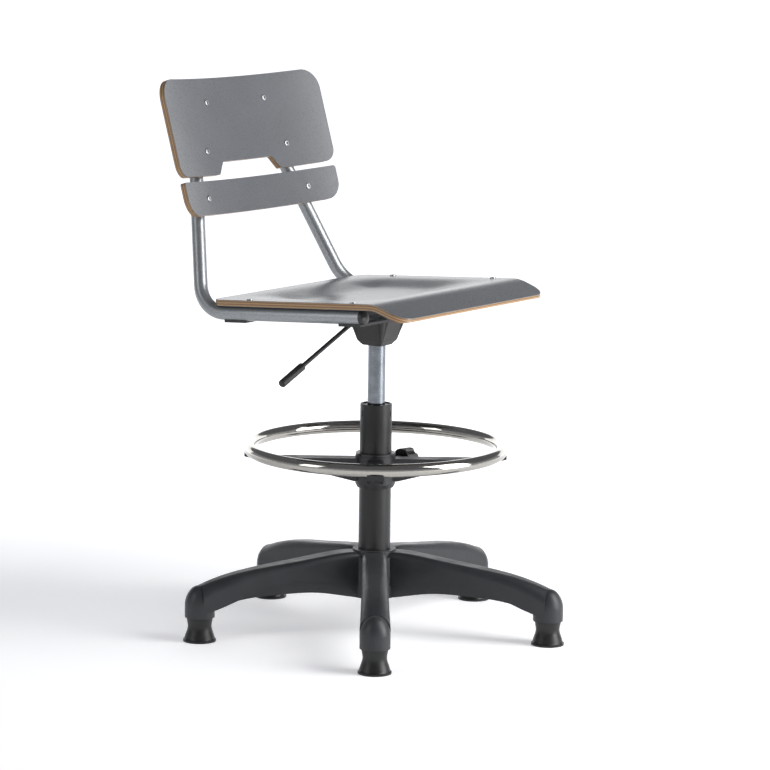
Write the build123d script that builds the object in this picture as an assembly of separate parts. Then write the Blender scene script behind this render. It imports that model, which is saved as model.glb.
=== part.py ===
from build123d import *
from math import atan2, cos, degrees, radians, sin, sqrt, tan
import os

# Height-adjustable drafting chair, in millimetres.
# Frame: origin on the floor under the column, +Z up, the sitter faces -Y, +X is the sitter's left.

# Base
LEG_COUNT = 5
BASE_TURN = -145.15          # direction of the first leg, degrees from +X
FOOT_RADIUS = 284.0          # column axis to glide axis
LEG_END_RADIUS = 23.3        # round boss at the end of a leg
LEG_HALF_WIDTH = 20.0        # leg beside the hub
LEG_END_Z = 38.0             # underside of the boss
LEG_SKIN = 4.0
SKIRT_STEP = 2.2             # the lower band of a leg is set in by this much
HUB_RADIUS = 34.0
HUB_TOP_Z = 131.5            # a low collar round the column's foot
HUB_FOOT_Z = 57.0

# Glides
GLIDE_TOP_RADIUS = 20.5
GLIDE_WAIST_RADIUS = 18.6
GLIDE_FLANGE_RADIUS = 25.6
GLIDE_FLANGE_HEIGHT = 3.0
GLIDE_GAP = 1.0              # between the glide and the leg end
STEM_RADIUS = 5.5
STEM_FOOT_Z = 3.0            # the glide is closed below its stem
STEM_TOP_Z = 66.0
STEM_TIP = 2.0               # stepped tip of the stem

# Gas column
TUBE_RADIUS = 25.0
TUBE_WALL = 2.0
TUBE_FOOT_Z = 64.0
TUBE_TOP_Z = 362.0
PLATE_THICKNESS = 4.0
CYLINDER_RADIUS = 14.0
CYLINDER_WALL = 1.6
CYLINDER_FOOT_Z = 133.0
CYLINDER_TOP_Z = 484.0
ROD_RADIUS = 5.0
RUNNING_GAP = 0.06           # radial clearance of a running fit
BODY_GAP = 0.3               # between faces of parts that move past each other
BUSH_LENGTH = 60.0
PISTON_Z = 296.5
PIN_RADIUS = 4.0
PIN_REACH = 7.2              # release pin above the cylinder

# Seat: a plane tilted up to the front, a shallow dish and a lip that drops at the front
SEAT_Z = 541.75              # top surface over the column
SEAT_TILT = 3.46
SEAT_HALF_WIDTH = 202.8
SEAT_REAR = 173.0
SEAT_FRONT = -183.0
SEAT_REAR_CORNER = 22.0
SEAT_FRONT_CORNER = 27.0
PLY_THICKNESS = 8.4
LAMINATE = 0.8
BOARD = PLY_THICKNESS + 2 * LAMINATE
LIP_START = -120.0
LIP_RADIUS = 60.0
LIP_ANGLE = 23.5
LIP_FLAT_Z = -27.4           # the lip is planed flat below, so that its front edge looks thin
DISH_DEPTH = 11.0

# Bent tube frame
FRAME_RADIUS = 11.0
FRAME_WALL = 1.5
RAIL_X = 194.5
RAIL_FRONT = -103.0
KNEE_Y = 196.0
KNEE_RADIUS = 58.0
KNEE_RELIEF_AT = 0.19          # share of the knee arc where the board is relieved
KNEE_RELIEF_GAP = 0.6
KNEE_RELIEF_LENGTH = 44.0
CROWN_RADIUS = 45.0
CROWN_RISE = 328.0           # height of the crown above the knees
UPRIGHT_SLOPE_X = -0.378     # the uprights lean in and back as they rise
UPRIGHT_SLOPE_Y = 0.350
BAR_WIDTH = 40.0
BAR_THICKNESS = 4.0
FRONT_BAR_Y = -84.0
REAR_BAR_Y = 129.0

# Back: boards bent to a cylinder, hollow side to the sitter
BACK_ORIGIN = (0, 217.84, 600.0)
BACK_LEAN = 16.19
BACK_BEND = 840.0
BACK_PLANE = Plane(
    origin=BACK_ORIGIN,
    x_dir=(1, 0, 0),
    z_dir=(0, -cos(radians(BACK_LEAN)), sin(radians(BACK_LEAN))),
)
UPPER_LOW, UPPER_HIGH, UPPER_HALF = 113.0, 267.5, 204.5
UPPER_CORNER_LOW, UPPER_CORNER_HIGH = 21.0, 34.0
CUT_HALF_LOW, CUT_HALF_HIGH, CUT_HEIGHT = 81.0, 65.0, 20.5
SLAT_LOW, SLAT_HIGH, SLAT_HALF = 51.5, 105.0, 200.0
SLAT_CORNER_LOW, SLAT_CORNER_HIGH = 29.0, 5.0
UPPER_SCREWS = ((75.9, 228.8), (105.5, 151.3))
SLAT_SCREW = (132.7, 77.3)

# Screws and threaded inserts
SCREW_RADIUS = 2.5
HEAD_RADIUS = 4.9
HEAD_HEIGHT = 1.9
HEAD_SEATING = 0.1              # lacquer and curve under a screw head
SOCKET_ACROSS = 3.0
INSERT_RADIUS = 3.5
INSERT_TOP = 0.4                # below the board
INSERT_LENGTH = 10.2
SCREW_LENGTH = 19.0
SEAT_SCREW_Y = (103.5, -88.5)

# Bracket under the seat
BRACKET_SIZE = (96.0, 262.0, 3.0)
BRACKET_Y = 22.0
CHEEK_Y = 16.2
CHEEK_THICKNESS = 3.0
CHEEK_HALF_X = 21.0
SOCKET_FOOT_Z = 461.0
SOCKET_WALL = 3.4
PIVOT_X = -18.0
LEVER_Z = 495.0
LEVER_RADIUS = 3.5
LEVER_KNEE_X = -70.0
LEVER_DROP = 21.5
LEVER_ROD_END = 139.3        # along the sloping run, from the knee
GRIP_LENGTH = 58.0
GRIP_RADIUS = 6.2

# Moulded cover under the bracket
COVER_TOP_HALF = 33.6
COVER_LOW_HALF = 23.8
COVER_FOOT_HALF = 18.0
COVER_LOW_Z, COVER_FOOT_Z = 462.5, 455.0
COVER_TOP_Z = 497.0
COVER_SKIN = 2.2

# Foot ring
RING_RADIUS = 197.4
RING_TUBE = 9.9
RING_WALL = 1.5
RING_Z = 291.5
ARM_TURN = -145.74           # direction of the first arm
ARM_COUNT = 4
ARM_WIDTH = 25.0
ARM_WEB = 3.0
ARM_ROOT_HEIGHT = 36.0
COLLAR_RADIUS = 31.5
COLLAR_FOOT_Z, COLLAR_TOP_Z = 236.0, 281.0
SLEEVE_WALL = 2.4
SLEEVE_FLANGE = 31.0
KNOB_TURN = -14.0            # direction that the clamp knob points
KNOB_Z = 265.0
KNOB_RADIUS = 19.0
KNOB_HEIGHT = 22.0
KNOB_BASE = 54.0
STUD_RADIUS = 4.0


def seat_plane():
    tilt = radians(SEAT_TILT)
    return Plane(origin=(0, 0, SEAT_Z), x_dir=(1, 0, 0), z_dir=(0, sin(tilt), cos(tilt)))


SEAT = seat_plane().location
BACK = BACK_PLANE.location


def turned(shape, angle):
    return Rot(0, 0, angle) * shape


def write(name, shape):
    shape.label = name
    export_step(shape, f"parts/{name}.step")


def ring(outer, inner, low, high):
    """Plain tube about +Z."""
    height = high - low
    body = Pos(0, 0, low + height / 2) * Cylinder(outer, height)
    return body - Pos(0, 0, low + height / 2) * Cylinder(inner, height + 2)


def rod(radius, low, high):
    return Pos(0, 0, (low + high) / 2) * Cylinder(radius, high - low)


def revolved(points):
    """Solid of revolution about Z from (radius, height) corners."""
    return revolve(Plane.XZ * make_face(Polyline(*points, close=True)), Axis.Z)


# Base ---------------------------------------------------------------------------------------


# Leg sections: distance from the axis, half width, top, lower edge of the outer skin, top corner radius
LEG_SECTIONS = (
    (0, 20.0, 122.5, 74.0, 8.0),
    (95, 20.0, 124.0, 86.0, 9.0),
    (160, 20.4, 115.0, 84.5, 11.0),
    (215, 21.2, 107.0, 69.0, 14.0),
    (255, 22.2, 97.5, 54.0, 17.0),
    (FOOT_RADIUS, LEG_END_RADIUS, 87.5, 46.0, 20.5),
)


def leg_section(distance, half, top, low, corner):
    """Arched cross section of a leg, square to its length."""
    arch = Polyline((-half, low), (-half, top), (half, top), (half, low), close=True)
    face = make_face(arch)
    crown = face.vertices().sort_by(Axis.Y)[-2:]
    face = fillet(crown, corner)
    plane = Plane(origin=(distance, 0, 0), x_dir=(0, 1, 0), z_dir=(1, 0, 0))
    return plane * face


def leg_skirt(half, top, reach):
    """Lower band of a leg, set in behind the outer skin."""
    under = Spline((0, 54), (46, 59.5), (98, 68.5), (150, 69.5), (210, 66), (reach, 61))
    rim = Polyline(under @ 1, (reach, 70), (150, top), (0, top), (0, 54))
    side = make_face([under, rim])
    return extrude(Plane.XZ * side, half, both=True)


def leg_boss():
    """Rounded end of a leg, over the glide."""
    wall = Polyline((0, LEG_END_Z), (LEG_END_RADIUS, LEG_END_Z), (LEG_END_RADIUS, 56))
    dome = Spline(wall @ 1, (17.2, 77.5), (0, 87.5), tangents=((0, 1), (-1, 0)))
    profile = make_face([wall, dome, Line(dome @ 1, wall @ 0)])
    return Pos(FOOT_RADIUS, 0, 0) * revolve(Plane.XZ * profile, Axis.Z)


def leg():
    """One hollow leg pointing along +X, open below, with cross ribs inside."""
    skirt_half = LEG_HALF_WIDTH - SKIRT_STEP
    body = loft([leg_section(*row) for row in LEG_SECTIONS])
    body += leg_skirt(skirt_half, 96, 238)
    body += leg_boss()
    inner = skirt_half - LEG_SKIN
    cavity = Polyline((48, 0), (48, 114), (100, 112), (160, 103), (215, 92), (242, 82), (242, 0), close=True)
    body -= extrude(Plane.XZ * make_face(cavity), inner, both=True)
    for distance in (95, 140, 185):
        body += Pos(distance, 0, 85) * Box(3, 2 * skirt_half - 2, 20)
    return body


def star_base():
    one_leg = leg()
    base = rod(HUB_RADIUS + 4, HUB_FOOT_Z, 122)
    for k in range(LEG_COUNT):
        base += turned(one_leg, BASE_TURN + 360 / LEG_COUNT * k)
    base += rod(HUB_RADIUS, 100, HUB_TOP_Z)
    base -= rod(TUBE_RADIUS, TUBE_FOOT_Z - 1, HUB_TOP_Z + 10)
    base -= rod(TUBE_RADIUS - 4, 0, TUBE_FOOT_Z)
    for k in range(LEG_COUNT):
        socket = Pos(FOOT_RADIUS, 0, 0) * rod(STEM_RADIUS, 0, STEM_TOP_Z + 1)
        base -= turned(socket, BASE_TURN + 360 / LEG_COUNT * k)
    return base


# Glides -------------------------------------------------------------------------------------


def glide():
    """Bell-shaped glide with its flange on the floor."""
    flange = Polyline((0, 0), (GLIDE_FLANGE_RADIUS, 0), (GLIDE_FLANGE_RADIUS, GLIDE_FLANGE_HEIGHT))
    top_z = LEG_END_Z - GLIDE_GAP
    bell = Spline(
        flange @ 1, (22.6, 8.5), (GLIDE_WAIST_RADIUS, 22), (GLIDE_TOP_RADIUS, top_z),
        tangents=((-1, 0.5), (0.15, 1)),
    )
    rest = Polyline(bell @ 1, (STEM_RADIUS, top_z), (STEM_RADIUS, STEM_FOOT_Z), (0, STEM_FOOT_Z), (0, 0))
    return revolve(Plane.XZ * make_face([flange, bell, rest]), Axis.Z)


def at_foot(shape, k):
    return turned(Pos(FOOT_RADIUS, 0, 0) * shape, BASE_TURN + 360 / LEG_COUNT * k)


def glide_stem():
    """Steel stem with a snap ring, pressed up into the leg end."""
    shoulder_z = STEM_TOP_Z - STEM_TIP
    return rod(STEM_RADIUS, STEM_FOOT_Z, shoulder_z) + rod(STEM_RADIUS - 1.5, shoulder_z, STEM_TOP_Z)


# Gas column ---------------------------------------------------------------------------------


def outer_column():
    bore = TUBE_RADIUS - TUBE_WALL
    tube = ring(TUBE_RADIUS, bore, TUBE_FOOT_Z, TUBE_TOP_Z)
    tube += ring(TUBE_RADIUS, TUBE_RADIUS - 3.4, TUBE_TOP_Z - 1.5, TUBE_TOP_Z)
    edge = tube.edges().filter_by(GeomType.CIRCLE).sort_by(Axis.Z)[-2:]
    tube = fillet([e for e in edge if e.radius > bore], 0.9)
    for k in range(3):
        crimp = Pos(TUBE_RADIUS, 0, 347) * Box(1.6, 4, 9)
        tube -= turned(crimp, 157 + 120 * k)
    return tube


def guide_bush():
    return ring(TUBE_RADIUS - TUBE_WALL, CYLINDER_RADIUS + RUNNING_GAP, TUBE_TOP_Z - BUSH_LENGTH, TUBE_TOP_Z - 1.5)


def column_end_plate():
    return ring(TUBE_RADIUS - TUBE_WALL, ROD_RADIUS + RUNNING_GAP, TUBE_FOOT_Z, TUBE_FOOT_Z + PLATE_THICKNESS)


RACE_Z = TUBE_FOOT_Z + PLATE_THICKNESS
RACE_HEIGHT = 2.5
BALL_RADIUS = 1.5
BALL_CIRCLE = 11.0
BALL_COUNT = 12
BALL_Z = RACE_Z + RACE_HEIGHT + BODY_GAP + BALL_RADIUS
UPPER_RACE_Z = BALL_Z + BALL_RADIUS


def bearing_lower_race():
    return ring(15, ROD_RADIUS + 1.5, RACE_Z, RACE_Z + RACE_HEIGHT)


def bearing_balls():
    """Balls of the thrust bearing, a group of separate solids."""
    balls = []
    for k in range(BALL_COUNT):
        angle = radians(360 / BALL_COUNT * k)
        balls.append(Pos(BALL_CIRCLE * cos(angle), BALL_CIRCLE * sin(angle), BALL_Z) * Sphere(BALL_RADIUS))
    return Compound(children=balls)


def bearing_cage():
    cage = ring(14, 8, BALL_Z - 0.6, BALL_Z + 0.6)
    for k in range(BALL_COUNT):
        cage -= turned(Pos(BALL_CIRCLE, 0, BALL_Z) * Cylinder(BALL_RADIUS + 0.05, 4), 360 / BALL_COUNT * k)
    return cage


def bearing_upper_race():
    return ring(15, ROD_RADIUS, UPPER_RACE_Z, UPPER_RACE_Z + RACE_HEIGHT)


def rubber_buffer():
    low = UPPER_RACE_Z + RACE_HEIGHT
    return ring(11.5, ROD_RADIUS, low, low + 11)


CLIP_Z = TUBE_FOOT_Z - 3.4
CLIP_HEIGHT = 1.2


def piston_rod():
    body = rod(ROD_RADIUS, TUBE_FOOT_Z - 6, PISTON_Z + 12)
    groove = ring(ROD_RADIUS + 1, ROD_RADIUS - 1.2, CLIP_Z, CLIP_Z + CLIP_HEIGHT)
    return body - groove


def retaining_clip():
    """Open spring clip in the groove of the rod."""
    return ring(9, ROD_RADIUS - 1.2, CLIP_Z, CLIP_Z + CLIP_HEIGHT) - Pos(8, 0, CLIP_Z) * Box(16, 6, 6)


def rod_washer():
    return ring(11, ROD_RADIUS, CLIP_Z + CLIP_HEIGHT, TUBE_FOOT_Z - BODY_GAP)


def piston():
    bore = CYLINDER_RADIUS - CYLINDER_WALL
    body = ring(bore - RUNNING_GAP, ROD_RADIUS, PISTON_Z, PISTON_Z + 12)
    return body - ring(bore, bore - 1.2, PISTON_Z + 4, PISTON_Z + 8)


def piston_seal():
    bore = CYLINDER_RADIUS - CYLINDER_WALL
    return ring(bore - RUNNING_GAP, bore - 1.2, PISTON_Z + 4, PISTON_Z + 8)


def gas_cylinder():
    body = ring(CYLINDER_RADIUS, CYLINDER_RADIUS - CYLINDER_WALL, CYLINDER_FOOT_Z, CYLINDER_TOP_Z)
    for groove_z in (381, 437, 441, 445, 449):
        body -= ring(CYLINDER_RADIUS + 1, CYLINDER_RADIUS - 0.25, groove_z, groove_z + 1)
    return body


def rod_guide():
    return ring(CYLINDER_RADIUS - CYLINDER_WALL, ROD_RADIUS + RUNNING_GAP, CYLINDER_FOOT_Z + 1, CYLINDER_FOOT_Z + 17)


def cylinder_head():
    return ring(CYLINDER_RADIUS - CYLINDER_WALL, PIN_RADIUS + RUNNING_GAP, CYLINDER_TOP_Z - 18, CYLINDER_TOP_Z)


def release_pin():
    pin = rod(PIN_RADIUS, CYLINDER_TOP_Z - 14, CYLINDER_TOP_Z + PIN_REACH - 0.2)
    return fillet(pin.edges().group_by(Axis.Z)[-1], 0.6)


# Seat ---------------------------------------------------------------------------------------


def smooth_step(value, start, end):
    t = min(max((value - start) / (end - start), 0.0), 1.0)
    return t * t * (3 - 2 * t)


def lip_shape(y):
    """Drop and slope of the seat's front lip at a distance from the column."""
    run = LIP_START - y
    bend_run = LIP_RADIUS * sin(radians(LIP_ANGLE))
    if run <= 0:
        return 0.0, 0.0
    if run < bend_run:
        fall = sqrt(LIP_RADIUS**2 - run**2)
        return LIP_RADIUS - fall, run / fall
    slope = tan(radians(LIP_ANGLE))
    return LIP_RADIUS * (1 - cos(radians(LIP_ANGLE))) + (run - bend_run) * slope, slope


def dish_shape(x, y):
    across = 1 - smooth_step(abs(x), 92, 176)
    along = (1 - smooth_step(y, 70, 150)) * smooth_step(y, -128, -20)
    return DISH_DEPTH * across * along


def seat_face(depth):
    """Face parallel to the seat's top surface, at a depth below it."""
    rows = []
    for i in range(55):
        x = -216 + 8 * i
        row = []
        for j in range(56):
            y = -204 + 7.2 * j
            drop, slope = lip_shape(y)
            row.append(Vector(x, y, -drop - dish_shape(x, y) - depth * sqrt(1 + slope * slope)))
        rows.append(row)
    return Face.make_surface_from_array_of_points(rows)


def seat_outline():
    length = SEAT_REAR - SEAT_FRONT
    face = Pos(0, (SEAT_REAR + SEAT_FRONT) / 2) * Rectangle(2 * SEAT_HALF_WIDTH, length)
    face = fillet(face.vertices().group_by(Axis.Y)[-1], SEAT_REAR_CORNER)
    return fillet(face.vertices().group_by(Axis.Y)[0], SEAT_FRONT_CORNER)


def seat_screw_places():
    return [(side * RAIL_X, y) for side in (-1, 1) for y in SEAT_SCREW_Y]


def seat_layer(outline, upper, lower, reliefs):
    """One layer of the seat board between two parallel faces, relieved where the frame bends up."""
    block = Pos(0, 0, -60) * extrude(outline, 70)
    block &= extrude(upper, amount=80, dir=(0, 0, -1))
    block -= extrude(lower, amount=80, dir=(0, 0, -1))
    block -= Pos(0, SEAT_FRONT, LIP_FLAT_Z - 10) * Box(3 * SEAT_HALF_WIDTH, 50, 20)
    for x, y in seat_screw_places():
        block -= Pos(x, y, 0) * Cylinder(SCREW_RADIUS + 0.25, 60)
    layer = SEAT * block
    for relief in reliefs:
        layer -= relief
    return layer


# Bent tube frame ----------------------------------------------------------------------------


def frame_path():
    """Centre line: left rail, knee, upright, crown behind the back, and down the other side."""
    rail_z = -BOARD - FRAME_RADIUS
    front = (SEAT * Pos(RAIL_X, RAIL_FRONT, rail_z)).position
    knee = (SEAT * Pos(RAIL_X, KNEE_Y, rail_z)).position
    crown = knee + Vector(UPRIGHT_SLOPE_X, UPRIGHT_SLOPE_Y, 1) * CROWN_RISE
    points = [front, knee, crown]
    mirrored = [Vector(-p.X, p.Y, p.Z) for p in reversed(points)]
    return FilletPolyline(*points, *mirrored, radius=[KNEE_RADIUS, CROWN_RADIUS, CROWN_RADIUS, KNEE_RADIUS])


def frame_sweep(radius):
    path = frame_path()
    return sweep(Plane(origin=path @ 0, z_dir=path % 0) * Circle(radius), path=path)


def knee_reliefs():
    """Cutters for the board's underside where the frame starts to bend up, sloping through the face."""
    knee = frame_path().edges()[1]
    place = Plane(origin=knee @ KNEE_RELIEF_AT, z_dir=knee % KNEE_RELIEF_AT).location
    cutter = place * Cylinder(FRAME_RADIUS + KNEE_RELIEF_GAP, KNEE_RELIEF_LENGTH)
    return [cutter, mirror(cutter, about=Plane.YZ)]


def frame_tube():
    tube = frame_sweep(FRAME_RADIUS) - frame_sweep(FRAME_RADIUS - FRAME_WALL)
    for place in seat_screw_frames() + back_screw_frames():
        tube -= place * Pos(0, 0, -BOARD - 5.5) * Cylinder(INSERT_RADIUS, 11)
    return tube


def tube_cap():
    """Domed plug for a rail end, pointing along -Y."""
    dome = Polyline((0, 0), (FRAME_RADIUS, 0), (FRAME_RADIUS, 4.5))
    crown = Spline(dome @ 1, (8.0, 8.0), (0, 9.6), tangents=((0, 1), (-1, 0)))
    head = make_face([dome, crown, Line(crown @ 1, dome @ 0)])
    body = revolve(Plane.XZ * head, Axis.Z) + rod(FRAME_RADIUS - FRAME_WALL, -8, 0)
    return Rot(90, 0, 0) * body


def tube_caps():
    rail_z = -BOARD - FRAME_RADIUS
    caps = [SEAT * Pos(side * RAIL_X, RAIL_FRONT, rail_z) * tube_cap() for side in (-1, 1)]
    return Compound(children=caps)


def cross_bar(y):
    """Flat bar welded under both rails, saddled to fit them."""
    rail_z = -BOARD - FRAME_RADIUS
    top = rail_z - FRAME_RADIUS + 1
    bar = Pos(0, y, top - BAR_THICKNESS / 2) * Box(400, BAR_WIDTH, BAR_THICKNESS)
    for side in (-1, 1):
        bar -= Pos(side * RAIL_X, y, rail_z) * Rot(90, 0, 0) * Cylinder(FRAME_RADIUS, BAR_WIDTH + 4)
        bar -= Pos(side * BOLT_X, y, top) * Cylinder(BOLT_RADIUS, 20)
    return SEAT * bar


# Screws and inserts -------------------------------------------------------------------------


def seat_screw_frames():
    return [SEAT * Pos(x, y, 0) for x, y in seat_screw_places()]


def back_screw_frames():
    """Places of the back screws, on the bent face and square to it."""
    places = []
    for x, height in (*UPPER_SCREWS, SLAT_SCREW):
        for side in (-1, 1):
            across = side * x
            sag = BACK_BEND - sqrt(BACK_BEND**2 - x * x)
            lean = -degrees(atan2(across, sqrt(BACK_BEND**2 - x * x)))
            places.append(BACK * Pos(across, height, sag) * Rot(0, lean, 0))
    return places


def screw():
    """Low round-head socket screw, head on z = 0 and shank below."""
    head = Pos(0, 0, HEAD_SEATING + HEAD_HEIGHT / 2) * Cylinder(HEAD_RADIUS, HEAD_HEIGHT)
    head = fillet(head.edges().group_by(Axis.Z)[-1], HEAD_HEIGHT * 0.8)
    shank = rod(SCREW_RADIUS, -SCREW_LENGTH, HEAD_SEATING)
    socket = Pos(0, 0, 0.3) * extrude(RegularPolygon(SOCKET_ACROSS / 2, 6, major_radius=False), 4)
    return head + shank - socket


def insert():
    """Threaded insert set in the wall of the tube."""
    top = -BOARD - INSERT_TOP
    return ring(INSERT_RADIUS, SCREW_RADIUS, top - INSERT_LENGTH, top)


def grouped(shape, places):
    return Compound(children=[place * shape for place in places])


# Back ---------------------------------------------------------------------------------------


def upper_outline():
    low, high = UPPER_LOW, UPPER_HIGH
    face = Pos(0, (low + high) / 2) * Rectangle(2 * UPPER_HALF, high - low)
    face = fillet(face.vertices().group_by(Axis.Y)[0], UPPER_CORNER_LOW)
    face = fillet(face.vertices().group_by(Axis.Y)[-1], UPPER_CORNER_HIGH)
    notch = Polyline(
        (-CUT_HALF_LOW, low), (-CUT_HALF_HIGH, low + CUT_HEIGHT), (CUT_HALF_HIGH, low + CUT_HEIGHT),
        (CUT_HALF_LOW, low), (CUT_HALF_LOW, low - 9), (-CUT_HALF_LOW, low - 9), close=True,
    )
    face -= make_face(notch)
    mouth = [v for v in face.vertices() if abs(v.X) < CUT_HALF_LOW + 1]
    return fillet(mouth, 4.5)


def slat_outline():
    low, high = SLAT_LOW, SLAT_HIGH
    face = Pos(0, (low + high) / 2) * Rectangle(2 * SLAT_HALF, high - low)
    face = fillet(face.vertices().group_by(Axis.Y)[-1], SLAT_CORNER_HIGH)
    return fillet(face.vertices().group_by(Axis.Y)[0], SLAT_CORNER_LOW)


def back_layer(outline, front_depth, rear_depth, holes):
    """One bent layer of a back board, between two depths behind its front face."""
    prism = Pos(0, 0, -40) * extrude(outline, 110)
    centre = Pos(0, (SLAT_LOW + UPPER_HIGH) / 2, BACK_BEND) * Rot(90, 0, 0)
    shell = centre * (Cylinder(BACK_BEND + rear_depth, 300) - Cylinder(BACK_BEND + front_depth, 310))
    layer = BACK * (prism & shell)
    for place in holes:
        layer -= place * Cylinder(SCREW_RADIUS + 0.25, 60)
    return layer


# Bracket, cover and lever -------------------------------------------------------------------

BOLT_X = 34.0
BOLT_RADIUS = 3.0
BRACKET_TOP = -BOARD - 2 * FRAME_RADIUS + 1 - BAR_THICKNESS


def seat_bracket():
    """Pressed plate with the taper socket and two cheeks for the lever."""
    width, length, thick = BRACKET_SIZE
    plate = Pos(0, BRACKET_Y, BRACKET_TOP - thick / 2) * Box(width, length, thick)
    corners = plate.edges().filter_by(Axis.Z)
    body = SEAT * fillet(corners, 12)
    socket = ring(CYLINDER_RADIUS + SOCKET_WALL, CYLINDER_RADIUS, SOCKET_FOOT_Z, 486)
    cheeks = Part()
    for side in (-1, 1):
        cheeks += Pos(0, side * CHEEK_Y, 491) * Box(2 * CHEEK_HALF_X, CHEEK_THICKNESS, 26)
    above = SEAT * Pos(0, 0, BRACKET_TOP - thick / 2 + 50) * Box(200, 200, 100)
    cheeks -= above
    cheeks -= Pos(PIVOT_X, 0, LEVER_Z) * Rot(90, 0, 0) * Cylinder(PIVOT_RADIUS, 60)
    body += cheeks
    body += socket
    for y in (FRONT_BAR_Y, REAR_BAR_Y):
        for side in (-1, 1):
            body -= SEAT * Pos(side * BOLT_X, y, BRACKET_TOP) * Cylinder(BOLT_RADIUS, 20)
    return body


def bracket_bolt():
    """Hexagon bolt, head under the bracket at z = 0, shank up."""
    head = Pos(0, 0, -4) * extrude(RegularPolygon(5, 6, major_radius=False), 4)
    return head + rod(BOLT_RADIUS, 0, 13)


def bracket_nut():
    low = 3 + BAR_THICKNESS
    nut = Pos(0, 0, low) * extrude(RegularPolygon(5, 6, major_radius=False), 4.5)
    return nut - rod(BOLT_RADIUS, low - 1, low + 6)


def bolt_places():
    under = BRACKET_TOP - BRACKET_SIZE[2]
    return [SEAT * Pos(s * BOLT_X, y, under) for s in (-1, 1) for y in (FRONT_BAR_Y, REAR_BAR_Y)]


PIVOT_RADIUS = 2.5


def lever_pivot():
    pin = rod(PIVOT_RADIUS, -CHEEK_Y - 3, CHEEK_Y + 3)
    head = rod(PIVOT_RADIUS + 1.2, -CHEEK_Y - 3, -CHEEK_Y - CHEEK_THICKNESS / 2)
    return Pos(PIVOT_X, 0, LEVER_Z) * Rot(90, 0, 0) * (pin + head)


def lever_direction():
    drop = radians(LEVER_DROP)
    return Vector(-cos(drop), 0, -sin(drop))


def lever_rod():
    knee = Vector(LEVER_KNEE_X, 0, LEVER_Z)
    path = FilletPolyline((3, 0, LEVER_Z), knee, knee + lever_direction() * (LEVER_ROD_END + GRIP_LENGTH - 8), radius=24)
    body = sweep(Plane(origin=path @ 0, z_dir=path % 0) * Circle(LEVER_RADIUS), path=path)
    eye = Pos(PIVOT_X, 0, LEVER_Z) * Rot(90, 0, 0)
    body += eye * Cylinder(5.5, 2 * (CHEEK_Y - CHEEK_THICKNESS / 2 - 0.5))
    return body - eye * Cylinder(PIVOT_RADIUS + RUNNING_GAP, 60)


def lever_grip():
    knee = Vector(LEVER_KNEE_X, 0, LEVER_Z)
    along = lever_direction()
    plane = Plane(origin=knee + along * LEVER_ROD_END, z_dir=along)
    side = Polyline((0, 0), (GRIP_RADIUS - 0.8, 0), (GRIP_RADIUS, 0.8), (GRIP_RADIUS, GRIP_LENGTH - 3.5))
    dome = Spline(side @ 1, (GRIP_RADIUS - 1.6, GRIP_LENGTH - 1), (0, GRIP_LENGTH), tangents=((0, 1), (-1, 0)))
    grip = revolve(Plane.XZ * make_face([side, dome, Line(dome @ 1, side @ 0)]), Axis.Z)
    grip -= rod(LEVER_RADIUS, -1, GRIP_LENGTH - 8)
    return plane.location * grip


COVER_SECTIONS = ((COVER_FOOT_Z, COVER_FOOT_HALF), (COVER_LOW_Z, COVER_LOW_HALF), (COVER_TOP_Z + 10, COVER_TOP_HALF + 2.8))


def cover_block(inset):
    """Tapered square block of the cover, with rounded corners."""
    sections = []
    for z, half in COVER_SECTIONS:
        sections.append(Pos(0, 0, z) * RectangleRounded(2 * (half - inset), 2 * (half - inset), 5 - inset / 2))
    return loft(sections, ruled=True)


def cover_flutes():
    """Tapered grooves beside each corner of the cover."""
    cuts = Part()
    for k in range(4):
        for side in (-1, 1):
            low = Vector(COVER_LOW_HALF + 0.6, side * (COVER_LOW_HALF - 3.2), COVER_LOW_Z - 3)
            high = Vector(COVER_TOP_HALF + 2.2, side * (COVER_TOP_HALF - 11.0), COVER_TOP_Z)
            axis = high - low
            place = Plane(origin=low, z_dir=axis)
            cut = place * Cone(2.0, 5.0, axis.length, align=(Align.CENTER, Align.CENTER, Align.MIN))
            cuts += turned(cut, 90 * k)
    return cuts


def housing_cover():
    shell = cover_block(0) - Pos(0, 0, 2) * cover_block(COVER_SKIN)
    shell -= cover_flutes()
    shell -= rod(CYLINDER_RADIUS + 0.4, 450, 470)
    shell -= Pos(-40, 0, 500) * Box(40, 11, 20)
    shell -= SEAT * Pos(0, 0, BRACKET_TOP - BRACKET_SIZE[2] + 50) * Box(200, 200, 100)
    return shell


# Foot ring ----------------------------------------------------------------------------------

ARM_TOP_Z = 276.0
ARM_REACH = 205.0
ARM_TIP_Z = 277.0
SCREW_SEAT_Z = 279.5            # the ring screws' heads are sunk in the arm tips
CRADLE_Z = 285.0
SLEEVE_RADIUS = TUBE_RADIUS + RUNNING_GAP + SLEEVE_WALL
SLEEVE_TOP_Z = COLLAR_TOP_Z + BODY_GAP + 3.0
RING_SCREW_RADIUS = 2.1
RING_HEAD_RADIUS = 4.2
RING_HEAD_HEIGHT = 3.0
RING_HOLE_SIDES = 12            # the holes are punched, not drilled


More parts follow.
